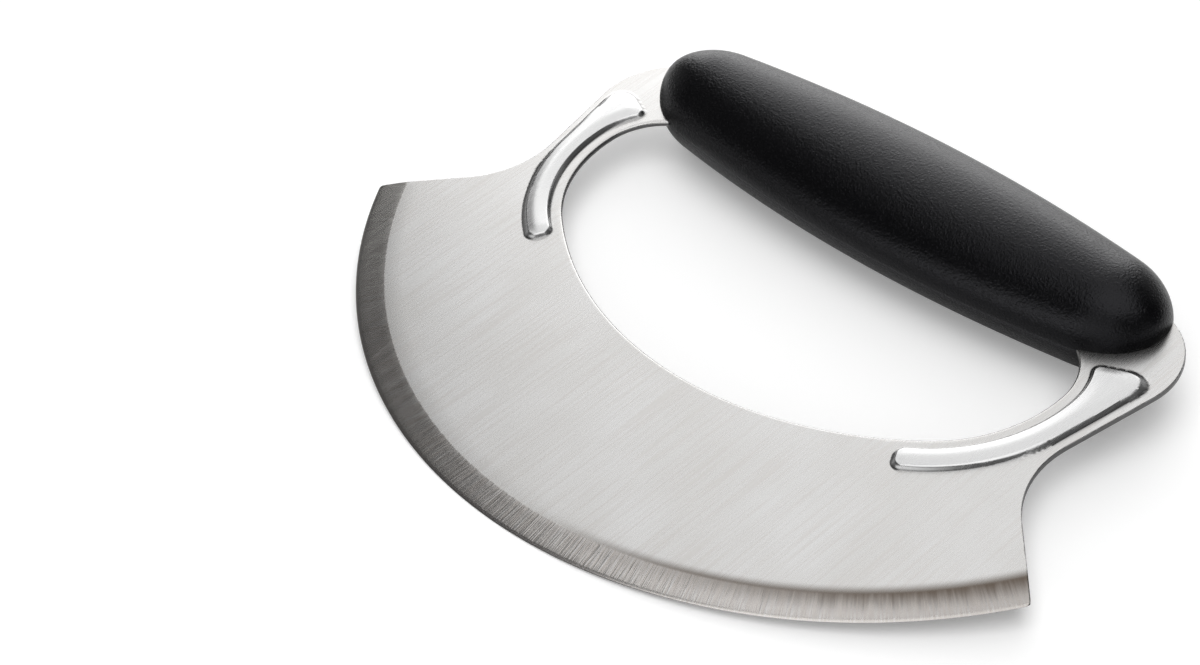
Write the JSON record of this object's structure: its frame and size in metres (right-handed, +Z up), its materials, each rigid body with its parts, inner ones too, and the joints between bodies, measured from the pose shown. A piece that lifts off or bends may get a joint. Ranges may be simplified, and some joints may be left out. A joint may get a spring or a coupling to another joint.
{
  "type": "mezzaluna",
  "caption": "Curved chopping blade of sheet steel with a ground edge, rocked by hand with a straight oval grip over a finger window.",
  "frame": {"origin": "on the surface that it lies on, under the centre of its bounding box", "axes": "+X along the grip, +Y across the blade from the cutting edge to the grip, +Z up from the surface that it lies on"},
  "size_m": [0.1784, 0.129, 0.0222],
  "materials": {
    "blade_steel": "satin brushed across the blade, with a finely ground edge bevel",
    "grip_skin": "matte soft-touch black with a fine pebble grain",
    "grip_core": "plain moulded black"
  },
  "bodies": {
    "root": {"blade": "blade_steel", "grip_cover_front": "grip_skin", "grip_cover_rear": "grip_skin", "grip_core_front": "grip_core", "grip_core_rear": "grip_core"}
  },
  "joints": []
}
